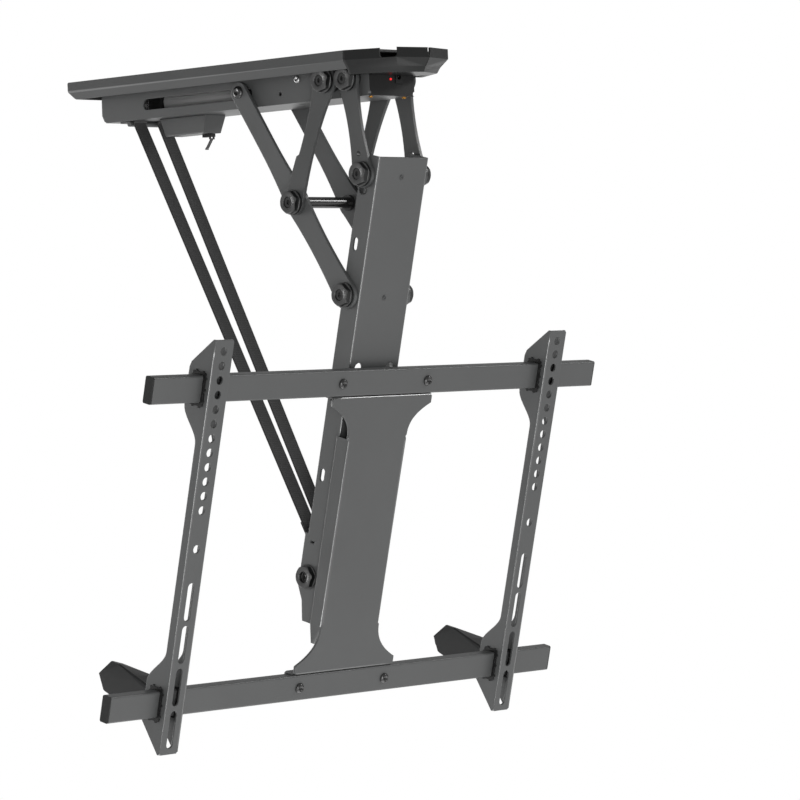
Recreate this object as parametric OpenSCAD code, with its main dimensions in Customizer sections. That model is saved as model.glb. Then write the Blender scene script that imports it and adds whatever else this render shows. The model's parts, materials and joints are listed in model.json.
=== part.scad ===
// Motorised flip-down ceiling mount for a flat screen, shown fully open.
// X runs along the rails, Y runs back along the base, Z is up, and Z = 0 is the ceiling.
// The origin is the centre of the ceiling bolts. All sizes are in millimetres.

/* [Base] */
// Distance from the front face of the channel back to the centre of the ceiling bolts
front_setback = 190; // [170:1:210]
// Length of the base channel
channel_len = 410; // [402:1:420]
// Outside width of the base channel
channel_w = 69; // [66:0.5:72]
// Depth of the channel's underside below the ceiling
channel_drop = 46.5; // [45:0.5:48]
// Sheet thickness of the base channel
channel_wall = 2.5; // [2:0.1:3]
// Thickness of the ceiling plate
plate_t = 3; // [2:0.5:4]
// Spacing of the ceiling bolts across the plate
bolt_dx = 92; // [86:1:94]
// Spacing of the ceiling bolts along the plate
bolt_dy = 300; // [260:5:320]
// Diameter of the ceiling bolt holes
bolt_hole_d = 8; // [6:0.5:9]

/* [Cover] */
// Outside width of the bevelled cover
cover_w = 128; // [126:1:132]
// Distance from the channel's front face to where the cover meets its end cap
cover_front = 9; // [8:0.5:9.5]
// Distance from the channel's front face to the far end of the cover
cover_back = 433; // [429:1:440]
// Height of the cover's upright rim
rim_h = 10.5; // [9:0.5:12]
// Height of the bevel under the rim
bevel_h = 8.5; // [6:0.5:9]
// Inward run of the bevel
bevel_run = 6; // [4:0.5:6]
// Sheet thickness of the cover
cover_wall = 1.5; // [1.2:0.1:1.5]
// Reach of the end cap's nose in front of the channel
nose_reach = 55; // [52:1:62]
// Width of the nose between its two front corners
nose_w = 79; // [72:1:84]

/* [Linkage] */
// Depth of the four fixed pivots below the ceiling
pivot_drop = 27.5; // [26.5:0.5:28.5]
// Distance of the front rocker's fixed pivot behind the channel's front face
front_pivot = 53; // [52:0.5:56]
// Distance of the rear rocker's fixed pivot behind the channel's front face
rear_pivot = 24; // [21:0.5:25]
// Length of the front rocker between its pivots
rocker_len = 135.5; // [133:0.5:138]
// Lean of the front rocker from upright when the mount is open
rocker_lean = 22.75; // [21:0.25:24]
// Length of the main link from its slider pin to its middle pivot
link_upper = 147; // [144:0.5:150]
// Length of the main link from its middle pivot to the column
link_lower = 120.5; // [117:0.5:124]
// Depth of the slider pin below the ceiling
slider_drop = 29.3; // [28.5:0.1:30]
// Thickness of the link plates
link_t = 4; // [3:0.25:4.5]
// Diameter of the pivot bolts
bolt_d = 10; // [8:0.5:11]
// Diameter of the slider pins
slider_d = 8; // [6:0.5:8.5]
// Height of the slot that the slider pins run in
slot_h = 12; // [11.5:0.5:13]
// Length of that slot from end to end
slot_len = 169.5; // [165:0.5:172]

/* [Column] */
// Lean of the column from upright when the mount is open
column_lean = 14.3; // [13.5:0.1:15]
// Distance between the column's two pivots
column_pitch = 129; // [127:0.5:131]
// Distance of the upper column pivot from the column's top edge
column_head = 18.5; // [16:0.5:20]
// Depth of the pivots behind the column's front face
column_axis = 17; // [16:0.5:18]
// Gap on each side between the channel and the column's flanges
column_gap = 3.5; // [3:0.25:4]
// Length of the column
column_len = 502; // [490:1:510]
// Depth of the column's side flanges
flange_d = 24.5; // [23.5:0.5:26]
// Depth of the flanges at the foot of the column
foot_flange_d = 29; // [27:0.5:31]
// Sheet thickness of the column
column_wall = 2.5; // [2:0.1:2.6]
// Distance of the strap shaft from the foot of the column
strap_shaft_rise = 48; // [40:1:60]

/* [Screen frame] */
// Length of the two rails
rail_len = 676; // [640:2:720]
// Height of the rails
rail_h = 28; // [26:0.5:30]
// Depth of the rails
rail_d = 12; // [10:0.5:13]
// Sheet thickness of the rails
rail_wall = 1.5; // [1:0.1:2]
// Distance of the top rail's upper edge below the column's top edge
rail_top_v = 220.5; // [216:0.5:226]
// Distance between the two rails
rail_pitch = 330; // [326:1:334]
// Gap between the column's front face and the back of the rails
rail_gap = 7.5; // [6:0.5:9]
// Spacing of the screws in each rail
rail_screw_dx = 130.6; // [120:0.2:140]
// Width of the screen plate at its two ends
plate_end_w = 152; // [146:1:160]
// Width of the screen plate at its waist
waist_w = 89.6; // [88:0.2:94]
// Sheet thickness of the screen plate
sheet_t = 2.5; // [2:0.1:3]

/* [Brackets] */
// Distance between the two screen brackets
bracket_dx = 514; // [480:1:560]
// Length of the brackets beyond the distance between the rails
bracket_over = 104; // [100:1:110]
// Width of the brackets
bracket_w = 26; // [25:0.5:28]
// Sheet thickness of the brackets
bracket_wall = 2.2; // [1.8:0.1:2.4]
// Distance of the first screen hole above the top rail's upper edge
first_hole_rise = 27.2; // [24:0.1:30]
// Pitch of the round screen holes
hole_pitch = 15; // [14.5:0.1:15.5]
// Number of round screen holes at that pitch
hole_count = 12; // [10:1:12]
// Diameter of the screen holes and width of the slots
screen_hole_d = 9; // [7:0.5:9.5]
// Pitch of the screen slots
screen_slot_pitch = 45; // [44:0.5:46]
// Length of the screen slots
screen_slot_len = 40; // [36:1:41]
// Number of screen slots
screen_slot_count = 4; // [2:1:4]

/* [Hidden] */

// Shared clearances and roundness
fine = 96;
smooth = 48;
over = 1;
run_gap = 0.05;
side_gap = 0.4;
seat_gap = 0.3;
hex_sides = 6;

// Shades of the real finishes
coat = "#5a5c5d";
coat_dark = "#484a4b";
black = "#1d1e1f";
plastic = "#2b2c2d";
web = "#262727";
steel = "#b4b6b8";
brass = "#c79a4a";

// Base, measured back from the front face
channel_half = channel_w / 2;
channel_in = channel_half - channel_wall;
function back(d) = d - front_setback;
slot_front = 173.5;
slot_sag = 1.4;
slot_z = -slider_drop - slot_sag;
gear_z = -28.5;

// Pivots in the plane across the links, as [y, z]
pivot_front = [back(front_pivot), -pivot_drop];
pivot_rear = [back(rear_pivot), -pivot_drop];
pivot_mid = pivot_front + rocker_len * [sin(rocker_lean), -cos(rocker_lean)];
slider_rise = -slider_drop - pivot_mid[1];
pivot_slide = pivot_mid + [sqrt(link_upper * link_upper - slider_rise * slider_rise), slider_rise];
link_dir = (pivot_slide - pivot_mid) / link_upper;
pivot_low = pivot_mid - link_lower * link_dir;
down_dir = [sin(column_lean), -cos(column_lean)];
out_dir = [-cos(column_lean), -sin(column_lean)];
pivot_head = pivot_low - column_pitch * down_dir;
column_origin = pivot_head - column_head * down_dir + column_axis * out_dir;
low_v = column_head + column_pitch;

// Layers outward from the middle, as distances from the centre plane
column_w = channel_w + 2 * column_gap;
column_half = column_w / 2;
strap_shaft_v = column_len - strap_shaft_rise;
layer_gap = 1;
inner_layer = column_half + layer_gap;
outer_layer = inner_layer + link_t + side_gap;
outer_face = outer_layer + link_t;
bolt_r = bolt_d / 2;
bore_r = bolt_r + run_gap;
slider_r = slider_d / 2;

// Caps on the pivots
cap_flats = 22;
cap_hex_h = 5.6;
cap_skirt_h = 2.8;
cap_skirt_r = 13.2;
cap_round_r = 12.2;
cap_recess_r = 6;
cap_recess_h = 4;
cap_h = cap_hex_h + cap_skirt_h;
cap_turn = 14;
head_r = 5.5;
head_h = 3;
socket_flats = 5;
socket_h = 2;
nut_flats = 16;
nut_h = 5;

// Link plate outlines
link_slider_r = 11;
link_mid_r = 15.5;
link_end_r = 15;
rocker_top_r = 15.5;
rocker_low_r = 13.5;
rear_end_r = 14.5;

// Screen frame
plate_end_half = plate_end_w / 2;
waist_half = waist_w / 2;
rail_front = rail_gap + rail_d;
rail_low_v = rail_top_v + rail_pitch;
plate_top_v = rail_top_v + rail_h + sheet_t + seat_gap;
plate_foot_v = rail_low_v - sheet_t - seat_gap;
plate_face = rail_front;
tab_front = rail_gap - seat_gap / 3;
bracket_front = 29.4;
bracket_lead = 11.6;
bracket_len = rail_pitch + bracket_over;
first_hole_v = rail_top_v - first_hole_rise;
bracket_top_v = first_hole_v - bracket_lead;
bracket_u = bracket_dx / 2;
bracket_half = bracket_w / 2;
liner_t = 2.2;
lobe_w = -3;
narrow_w = 19.6;

// Straps
strap_w = 19;
strap_t = 2;
strap_pitch = 36.5;
strap_foot_pitch = 20;
strap_top = 374;
strap_top_y = back(strap_top);
strap_lip = 2;
strap_bar_r = 3;
strap_bar_z = -channel_drop - strap_bar_r - seat_gap;
shaft_r = 5;

// Copies a left-hand shape to the right-hand side as well
module both() {
    children();
    mirror([1, 0, 0]) children();
}

// Frame of the screen: x across, second axis away from the viewer, third axis up the column
module screen_frame() {
    translate([0, column_origin[0], column_origin[1]]) rotate([column_lean, 0, 0]) children();
}

// Places a shape at a distance down the column and out from its front face
module at_screen(u, v, w) {
    translate([u, -w, -v]) children();
}

// Places a shape drawn around the X axis at a pivot
module at_pivot(p, x = 0) {
    translate([x, p[0], p[1]]) children();
}

// Cylinder along X from x = a to x = b
module rod_x(r, a, b, sides = fine) {
    translate([a, 0, 0]) rotate([0, 90, 0]) cylinder(h = b - a, r = r, $fn = sides);
}

// Box between two corners
module span(lo, hi) {
    translate(lo) cube(hi - lo);
}

// Rectangle with round corners, centred
module round_rect(w, h, r) {
    square([w - 2 * r, h], center = true);
    square([w, h - 2 * r], center = true);
    for (x = [-1, 1], y = [-1, 1])
        translate([x * (w / 2 - r), y * (h / 2 - r)]) circle(r, $fn = smooth);
}

// Slot outline with round ends, centred, long along its first axis
module slot_2d(len, width) {
    square([len - width, width], center = true);
    for (s = [-1, 1]) translate([s * (len - width) / 2, 0]) circle(width / 2, $fn = smooth);
}

// Flat outline in the Y-Z plane, given thickness from x = a to x = b
module plate_x(a, b) {
    translate([a, 0, 0]) rotate([90, 0, 90]) linear_extrude(b - a) children();
}

// Half width along a link plate, from one end value through its waist to the other
function waist(s, a, m, b) = s < 0.5
    ? m + (a - m) * pow(1 - 2 * s, 2)
    : m + (b - m) * pow(2 * s - 1, 2);

// Strip of a link plate between two pivots; round ends are added with discs
module strip_2d(p, q, rp, m, rq, steps = 12) {
    inside_share = 0.985;
    reach = norm(q - p);
    dir = (q - p) / reach;
    side = [-dir[1], dir[0]];
    a = rp * inside_share;
    b = rq * inside_share;
    left = [for (i = [0:steps]) p + dir * reach * i / steps + side * waist(i / steps, a, m, b)];
    right = [for (i = [steps:-1:0]) p + dir * reach * i / steps - side * waist(i / steps, a, m, b)];
    polygon(concat(left, right));
}

// Round end of a link plate
module disc_x(p, r, a, b) {
    at_pivot(p) rod_x(r, a, b);
}

// Black hexagonal cap with a skirt and a recess, outer face at x = 0, body towards +X
module pivot_cap() {
    corner_r = cap_flats / 2 / cos(180 / hex_sides);
    ease = 1.2;
    difference() {
        union() {
            intersection() {
                rotate([cap_turn, 0, 0]) rotate([0, 90, 0])
                    cylinder(h = cap_hex_h, r = corner_r, $fn = hex_sides);
                rotate([0, 90, 0]) rotate_extrude($fn = fine) polygon([
                    [0, 0], [cap_round_r - ease, 0], [cap_round_r, ease],
                    [cap_round_r, cap_hex_h], [0, cap_hex_h]
                ]);
            }
            translate([cap_hex_h, 0, 0]) rod_x(cap_skirt_r, 0, cap_skirt_h);
        }
        rod_x(cap_recess_r, -over, cap_recess_h);
        rod_x(bore_r, -over, cap_h + over);
    }
}

// Bolt with a socket head sunk in the cap, shaft to an inner nut; head face at x = 0
module pivot_bolt(len) {
    start = cap_recess_h - head_h;
    difference() {
        union() {
            rod_x(head_r, start, cap_recess_h);
            rod_x(bolt_r, start, len);
            translate([len - nut_h, 0, 0]) rotate([0, 90, 0])
                cylinder(h = nut_h, r = nut_flats / 2 / cos(180 / hex_sides), $fn = hex_sides);
        }
        translate([start - over, 0, 0]) rotate([0, 90, 0])
            cylinder(h = socket_h + over, r = socket_flats / 2 / cos(180 / hex_sides), $fn = hex_sides);
    }
}

// Pan-head screw with a cross recess, head outward at x = 0 and shaft towards +X
module pan_screw_x(head_radius, head_height, shaft_r, shaft_len) {
    cross_share = 0.24;
    reach_share = 1.15;
    crown_share = 0.62;
    brow_share = 0.88;
    brow_at_share = 0.28;
    rim_share = 0.7;
    difference() {
        union() {
            rotate([0, 90, 0]) rotate_extrude($fn = fine) polygon([
                [0, 0], [head_radius * crown_share, 0],
                [head_radius * brow_share, head_height * brow_at_share],
                [head_radius, head_height * rim_share], [head_radius, head_height], [0, head_height]
            ]);
            rod_x(shaft_r, head_height / 2, head_height + shaft_len);
        }
        for (turn = [0, 90]) rotate([turn, 0, 0])
            cube([head_height * cross_share * 4, head_radius * reach_share,
                head_radius * cross_share], center = true);
    }
}

// Flat plate against the ceiling, with a tongue that reaches into the end cap
module ceiling_plate() color(coat_dark) {
    half = cover_w / 2 - cover_wall - seat_gap;
    plate_front = cover_front + side_gap;
    plate_back = cover_back - cover_wall - seat_gap;
    tongue_reach = nose_reach / 3;
    tongue_half = nose_w / 2 + tongue_reach / 4;
    tongue_root = cover_w / 2 - bevel_run - cover_wall;
    difference() {
        translate([0, 0, -plate_t]) linear_extrude(plate_t) polygon([
            [-half, back(plate_back)], [-half, back(plate_front)], [-tongue_root, back(plate_front)],
            [-tongue_half, back(-tongue_reach)], [tongue_half, back(-tongue_reach)],
            [tongue_root, back(plate_front)], [half, back(plate_front)], [half, back(plate_back)]
        ]);
        for (x = [-1, 1], y = [-1, 1])
            translate([x * bolt_dx / 2, y * bolt_dy / 2, -plate_t - over])
                cylinder(h = plate_t + 2 * over, r = bolt_hole_d / 2, $fn = smooth);
    }
}

// The channel is a folded sheet: closed underneath and in front, open to the ceiling plate
module base_channel() color(coat) {
    top = -plate_t;
    clip = 4.4;
    clip_h = 8;
    far = channel_len;
    difference() {
        span([-channel_half, back(0), -channel_drop], [channel_half, back(far), top]);
        span([-channel_in, back(channel_wall), -channel_drop + channel_wall],
            [channel_in, back(far + over), top + over]);
        plate_x(-channel_half - over, channel_half + over) polygon([
            [back(far + over), -channel_drop + clip_h], [back(far), -channel_drop + clip_h],
            [back(far - clip), -channel_drop], [back(far - clip), -channel_drop - over],
            [back(far + over), -channel_drop - over]
        ]);
        plate_x(-channel_half - over, channel_half + over)
            translate([back(slot_front + slot_len / 2), slot_z]) slot_2d(slot_len, slot_h);
        for (p = [pivot_front, pivot_rear])
            at_pivot(p) rod_x(bore_r, -channel_half - over, channel_half + over);
        side_hole_cut();
        for (s = [-1, 1]) at_pivot(channel_screw_at)
            rod_x(channel_screw_r + run_gap, s < 0 ? -channel_half - over : channel_in - over,
                s < 0 ? -channel_in + over : channel_half + over, smooth);
        span([-strap_slot_half, strap_top_y - strap_slot_d, -channel_drop - over],
            [strap_slot_half, strap_top_y - strap_slot_front, -channel_drop + channel_wall + over]);
        for (x = [-1, 1]) translate([x * keyhole_x, back(keyhole_y), -channel_drop - over])
            cylinder(h = channel_wall + 2 * over, r = keyhole_r, $fn = smooth);
        translate([jack_x, back(0), jack_z]) cube([jack_w + seat_gap, channel_wall * 3, jack_h + seat_gap],
            center = true);
        translate([led_x, back(0), led_z]) rotate([90, 0, 0])
            cylinder(h = channel_wall * 3, r = led_r + run_gap * 2, center = true, $fn = smooth);
        for (x = [-1, 1]) translate([x * panel_screw_x, back(panel_screw_y), -channel_drop - over])
            cylinder(h = channel_wall + 2 * over, r = panel_screw_r, $fn = smooth);
        for (x = [-1, 1]) translate([x * channel_half, back(0), -channel_drop + relief_r])
            sphere(relief_r, $fn = smooth);
    }
}
slot_margin = 2;
side_hole_y = 131;
side_hole_z = -35;
side_hole_r = 2.4;
channel_screw_y = 105;
channel_screw_z = -21.7;
channel_screw_at = [back(channel_screw_y), channel_screw_z];
channel_screw_r = 2;
strap_slot_half = strap_pitch / 2 + strap_w / 2 + slot_margin;
strap_slot_d = 14;
strap_slot_front = 6;
keyhole_x = 14;
keyhole_y = 118;
keyhole_r = 4;
jack_x = 10.5;
jack_z = -26;
jack_w = 9.5;
jack_h = 14;
led_x = -1.8;
led_z = -28.9;
led_r = 1.2;
panel_screw_x = 25.5;
panel_screw_y = 7;
panel_screw_r = 1.6;
panel_head_h = 2;
relief_r = 2.5;

module side_hole_cut() {
    at_pivot([back(side_hole_y), side_hole_z])
        rod_x(side_hole_r, -channel_half - over, channel_half + over, smooth);
}

// Bevelled skirt, open underneath: its outside less an inside one sheet smaller
module cover_block(inset) {
    half = cover_w / 2 - inset;
    far = cover_back - inset;
    near = inset > 0 ? cover_front - over : cover_front;
    bottom = rim_h + bevel_h;
    top = inset > 0 ? over : 0;
    drop = inset > 0 ? over : 0;
    run = bevel_run * (1 + drop / bevel_h);
    intersection() {
        translate([0, back(near), 0]) rotate([90, 0, 180]) linear_extrude(far - near) polygon([
            [-half, top], [half, top], [half, -rim_h], [half - run, -bottom - drop],
            [-half + run, -bottom - drop], [-half, -rim_h]
        ]);
        plate_x(-cover_w, cover_w) polygon([
            [back(near), top], [back(far), top], [back(far), -rim_h],
            [back(far - run), -bottom - drop], [back(near), -bottom - drop]
        ]);
    }
}

module base_cover() color(coat) difference() {
    cover_block(0);
    cover_block(cover_wall);
}

// Pointed plastic end cap: rim, bevel and an upright lower band
nose_corner_y = 45.4;
nose_flat = 3;
function nose_points(inset) = let(
    side = cover_w / 2 - inset,
    corner = nose_w / 2 - inset
) [
    [-side, back(cover_front)], [-side, back(cover_front - nose_flat)],
    [-corner, back(-nose_corner_y + inset)], [0, back(-nose_reach + inset)],
    [corner, back(-nose_corner_y + inset)], [side, back(cover_front - nose_flat)],
    [side, back(cover_front)]
];

module nose_slab(inset, z, t) {
    translate([0, 0, z]) linear_extrude(t) polygon(nose_points(inset));
}

module front_end_cap() color(plastic) {
    thin = 0.1;
    lower = 25;
    band_run = 2.6;
    wall = 2.4;
    notch_w = 19;
    notch_h = 10;
    notch_corner = 3;
    groove_w = 3.6;
    groove_h = 5;
    seam_w = 1;
    seam_deep = 1;
    facet = [cover_w / 2 - nose_w / 2, nose_corner_y + cover_front];
    notch_share = 0.84;
    notch_at = [-cover_w / 2 + facet[0] * notch_share, back(cover_front - facet[1] * notch_share)];
    rocker_out = inner_layer + link_t + seat_gap + over;
    rocker_reach = 20;
    difference() {
        union() {
            hull() {
                nose_slab(0, -rim_h, rim_h);
                nose_slab(bevel_run, -rim_h - bevel_h, thin);
            }
            hull() {
                nose_slab(bevel_run, -rim_h - bevel_h, thin);
                nose_slab(bevel_run + band_run, -lower, thin);
            }
        }
        span([-channel_half - side_gap, back(-side_gap), -lower - over],
            [channel_half + side_gap, back(cover_front + over), over]);
        translate([jack_x, back(0), jack_z])
            cube([jack_w + over * 2, over * 3, jack_h + over * 2], center = true);
        hull() {
            nose_slab(wall, -rim_h, rim_h + over);
            nose_slab(bevel_run + wall, -rim_h - bevel_h + wall, thin);
        }
        translate([notch_at[0], notch_at[1], 0]) rotate([0, 0, atan2(-facet[1], facet[0])])
            rotate([90, 0, 0]) linear_extrude(wall * 3, center = true)
                translate([0, -notch_h / 2 + over]) round_rect(notch_w, notch_h + 2 * over, notch_corner);
        span([-groove_w / 2, back(-nose_reach - over), -groove_h],
            [groove_w / 2, back(-nose_reach + wall * 3), over]);
        plate_x(-seam_w / 2, seam_w / 2) polygon([
            [back(-nose_reach - over), over], [back(-nose_reach + seam_deep), over],
            [back(-nose_reach + seam_deep), -rim_h],
            [back(-nose_reach + bevel_run + seam_deep), -rim_h - bevel_h],
            [back(-nose_reach - over), -rim_h - bevel_h]
        ]);
        for (s = [-1, 1])
            span([s < 0 ? -rocker_out : channel_half, back(cover_front - rocker_reach), -lower - over],
                [s < 0 ? -channel_half : rocker_out, back(cover_front + over),
                    -rim_h - bevel_h + wall + over]);
    }
}

module channel_screws() color(steel) both()
    at_pivot(channel_screw_at, -channel_half - channel_screw_head - seat_gap / 3)
        pan_screw_x(channel_screw_r * 2, channel_screw_head, channel_screw_r, channel_wall * 2);
channel_screw_head = 1.8;

module panel_screws() color(brass)
    for (x = [-1, 1]) translate([x * panel_screw_x, back(panel_screw_y), -channel_drop - panel_head_h])
        rotate([0, -90, 0])
            pan_screw_x(panel_screw_r * 1.5, panel_head_h, panel_screw_r - run_gap, channel_wall * 2);

motor_r = 15;
motor_groove = 1.5;
motor_front = 352;
motor_back = 394;
gear_front = 332;
gear_w = 36;
gear_h = 31;
gear_hole_in = 4;
gear_hole_r = 1.8;
tube_floor = 2;
tube_r = 14;
tube_front = 168;
rod_r = 5;
rod_front = 14;
yoke_t = 6;
yoke_arm_in = 21;
yoke_arm_t = 5;

module actuator_motor() color(steel)
    translate([0, back(motor_front), gear_z]) rotate([-90, 0, 0])
        difference() {
            cylinder(h = motor_back - motor_front, r = motor_r, $fn = fine);
            translate([0, 0, motor_back - motor_front - motor_groove]) difference() {
                cylinder(h = motor_groove + over, r = motor_r - motor_groove * 2, $fn = fine);
                cylinder(h = motor_groove + over, r = motor_r - motor_groove * 6, $fn = fine);
            }
        }

module actuator_gearbox() color(plastic) difference() {
    span([-gear_w / 2, back(gear_front), gear_z - gear_h / 2],
        [gear_w / 2, back(motor_front - run_gap), gear_z + gear_h / 2]);
    for (x = [-1, 1], z = [-1, 1])
        translate([x * (gear_w / 2 - gear_hole_in), back(gear_front - over),
            gear_z + z * (gear_h / 2 - gear_hole_in)])
            rotate([-90, 0, 0]) cylinder(h = gear_hole_in, r = gear_hole_r, $fn = smooth);
}

module actuator_tube() color(coat) translate([0, back(tube_front), gear_z]) rotate([-90, 0, 0])
    difference() {
        cylinder(h = gear_front - run_gap - tube_front, r = tube_r, $fn = fine);
        translate([0, 0, -over])
            cylinder(h = gear_front - tube_front - tube_floor + over, r = rod_r + run_gap, $fn = fine);
    }

module actuator_rod() color(steel)
    translate([0, back(rod_front + yoke_t / 2), gear_z]) rotate([-90, 0, 0])
    cylinder(h = tube_front + 2 * yoke_t - rod_front, r = rod_r, $fn = fine);

// Yoke on the rod: a cross piece with two arms that end in open forks at the slider pins
module drive_yoke() color(steel) {
    arm_in = yoke_arm_in;
    arm_out = yoke_arm_in + yoke_arm_t;
    arm_h = 22;
    fork_reach = 30;
    fork_h = slider_d + yoke_arm_t;
    pin_y = pivot_slide[0];
    union() {
        difference() {
            span([-arm_out, back(rod_front), gear_z - arm_h / 2],
                [arm_out, back(rod_front + yoke_t), gear_z + arm_h / 2]);
            translate([0, back(rod_front + yoke_t / 2), gear_z]) rotate([-90, 0, 0])
                cylinder(h = yoke_t, r = rod_r, $fn = fine);
        }
        both() difference() {
            span([-arm_out, back(rod_front), gear_z - arm_h / 2],
                [-arm_in, pin_y + fork_reach, gear_z + arm_h / 2]);
            span([-arm_out - over, pin_y - slider_r - seat_gap, slot_z - fork_h / 2],
                [-arm_in + over, pin_y + fork_reach + over, slot_z + fork_h / 2]);
        }
    }
}

box_half = 16.5;
box_front = 266;
box_back = 336;
box_h = 20;
box_wall = 1.8;
box_slant = 8;

// Box shell in profile, less an inset; its right-hand side leans inwards
module box_block(inset, z) {
    lead = 2;
    lean = 7;
    half = box_half - inset;
    foot = z - box_h + inset;
    top = inset > 0 ? z + over : z;
    intersection() {
        plate_x(-half, half) polygon([
            [back(box_front + inset), top], [back(box_back - inset * 2), top],
            [back(box_back - box_slant - inset), foot], [back(box_front + lead + inset), foot]
        ]);
        rotate([90, 0, 0]) translate([0, 0, -back(box_back)]) linear_extrude(box_back - box_front)
            polygon([[-half, foot], [half - lean, foot], [half, z], [half, top], [-half, top]]);
    }
}

module control_box() color(coat) difference() {
    z = -channel_drop - seat_gap / 3;
    box_block(0, z);
    box_block(box_wall, z);
}

module control_board() color("#1f5a3a") {
    t = 1.6;
    z = -channel_drop - box_h / 2;
    side = box_half / 2;
    chip_h = 3;
    margin = 6;
    chip_at = margin * 2;
    chip_len = 14;
    block_at = margin * 3;
    block_len = 8;
    span([-side, back(box_front + margin), z], [side, back(box_back - margin * 2), z + t]);
    span([-side / 2, back(box_front + chip_at), z + t],
        [side / 2, back(box_front + chip_at + chip_len), z + t + chip_h]);
    span([-side, back(box_back - block_at - block_len), z + t],
        [side, back(box_back - block_at), z + t + chip_h * 2]);
}

switch_half = 3.2;
switch_front = 270;
switch_back = 284;
switch_h = 3.6;
lever_t = 0.9;
lever_lug_r = 1.2;
lever_inset = 2.5;
lever_hinge_y = back(switch_front + lever_inset);
switch_top = -channel_drop - box_h - seat_gap;
lever_z = switch_top - switch_h - lever_lug_r - seat_gap;

module limit_switch() color(black) {
    lug_t = 1;
    span([-switch_half, back(switch_front), switch_top - switch_h],
        [switch_half, back(switch_back), switch_top]);
    for (s = [-1, 1]) at_pivot([lever_hinge_y, lever_z])
        span([s < 0 ? -switch_half : switch_half - lug_t, -lever_lug_r, -lever_lug_r],
            [s < 0 ? -switch_half + lug_t : switch_half, lever_lug_r, lever_lug_r + seat_gap + over]);
}

module switch_lever() color(black) {
    half = 2;
    len = 14;
    tilt = -52;
    at_pivot([lever_hinge_y, lever_z]) rotate([tilt, 0, 0]) {
        span([-half, 0, -lever_t], [half, len, 0]);
        translate([0, len, -lever_t / 2]) rod_x(lever_t, -half, half, smooth);
    }
}

module dc_jack() color(black) translate([jack_x, back(0), jack_z]) {
    rim = 1;
    deep = 11;
    socket_r = 3.1;
    socket_deep = 9;
    pin_r = 0.9;
    difference() {
        span([-jack_w / 2, -rim, -jack_h / 2], [jack_w / 2, deep, jack_h / 2]);
        rotate([-90, 0, 0]) translate([0, 0, -over - rim]) difference() {
            cylinder(h = socket_deep, r = socket_r, $fn = smooth);
            translate([0, 0, over + rim]) cylinder(h = socket_deep, r = pin_r, $fn = smooth);
        }
    }
}

module status_led() color("red") translate([led_x, back(0), led_z]) rotate([-90, 0, 0]) {
    proud = 0.8;
    led_len = 6;
    translate([0, 0, -proud]) cylinder(h = led_len, r = led_r, $fn = smooth);
}

// Rolled lip under the channel that the straps hang from
module strap_anchor() color(coat) {
    half = strap_slot_half;
    t = 2;
    lip_d = 12;
    z = -channel_drop - seat_gap / 3;
    span([-half, strap_top_y - strap_lip, z - t], [half, strap_top_y + lip_d, z]);
    at_pivot([strap_top_y - strap_lip, z - strap_bar_r]) rod_x(strap_bar_r, -half, half);
}

module base_pivot_bolts() color(black) {
    reach = outer_face + seat_gap + cap_h - channel_in + nut_h + seat_gap / 3;
    rear_out = inner_layer + link_t;
    rear_reach = rear_out + seat_gap + cap_h - channel_in + nut_h + seat_gap / 3;
    both() at_pivot(pivot_front, -outer_face - seat_gap - cap_h) pivot_bolt(reach);
    both() at_pivot(pivot_rear, -rear_out - seat_gap - cap_h) pivot_bolt(rear_reach);
}

module base_pivot_caps() color(plastic) {
    both() at_pivot(pivot_front, -outer_face - seat_gap - cap_h) pivot_cap();
    both() at_pivot(pivot_rear, -inner_layer - link_t - seat_gap - cap_h) pivot_cap();
}

// Round spacers between the channel walls and the rockers
module spacer_x(a, b, r) {
    difference() {
        rod_x(r, a, b);
        rod_x(bore_r, a - over, b + over);
    }
}

module base_spacers() color(black) {
    front_r = 12;
    rear_r = 12;
    both() at_pivot(pivot_front) spacer_x(-outer_layer + seat_gap, -channel_half - run_gap, front_r);
    both() at_pivot(pivot_rear) spacer_x(-inner_layer + seat_gap, -channel_half - run_gap, rear_r);
}

// Front rocker with the small shoulder on its rear edge
module front_rocker_sheet() {
    waist_half_w = 8.6;
    shoulder = 4;
    shoulder_share = 0.62;
    tail_share = 0.97;
    dir = (pivot_mid - pivot_front) / rocker_len;
    side = [-dir[1], dir[0]];
    at = pivot_front + dir * rocker_len * shoulder_share;
    edge = waist(shoulder_share, rocker_top_r, waist_half_w, rocker_low_r) - over;
    a = -outer_face;
    b = -outer_layer;
    difference() {
        union() {
            plate_x(a, b) strip_2d(pivot_front, pivot_mid, rocker_top_r, waist_half_w, rocker_low_r);
            plate_x(a, b) polygon([
                at + side * edge, at + side * (edge + shoulder) + dir * shoulder,
                pivot_mid + side * rocker_low_r * tail_share, pivot_mid
            ]);
            disc_x(pivot_front, rocker_top_r, a, b);
            disc_x(pivot_mid, rocker_low_r, a, b);
        }
        for (p = [pivot_front, pivot_mid]) disc_x(p, bore_r, a - over, b + over);
    }
}

module front_rocker_left() color(coat) front_rocker_sheet();
module front_rocker_right() color(coat) mirror([1, 0, 0]) front_rocker_sheet();

module main_link_sheet() {
    upper_half = 10.5;
    lower_half = 12;
    a = -inner_layer - link_t;
    b = -inner_layer;
    difference() {
        union() {
            plate_x(a, b) strip_2d(pivot_slide, pivot_mid, link_slider_r, upper_half, link_mid_r);
            plate_x(a, b) strip_2d(pivot_mid, pivot_low, link_mid_r, lower_half, link_end_r);
            disc_x(pivot_slide, link_slider_r, a, b);
            disc_x(pivot_mid, link_mid_r, a, b);
            disc_x(pivot_low, link_end_r, a, b);
        }
        disc_x(pivot_slide, slider_r + run_gap, a - over, b + over);
        for (p = [pivot_mid, pivot_low]) disc_x(p, bore_r, a - over, b + over);
    }
}

module main_link_left() color(coat) main_link_sheet();
module main_link_right() color(coat) mirror([1, 0, 0]) main_link_sheet();

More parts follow.
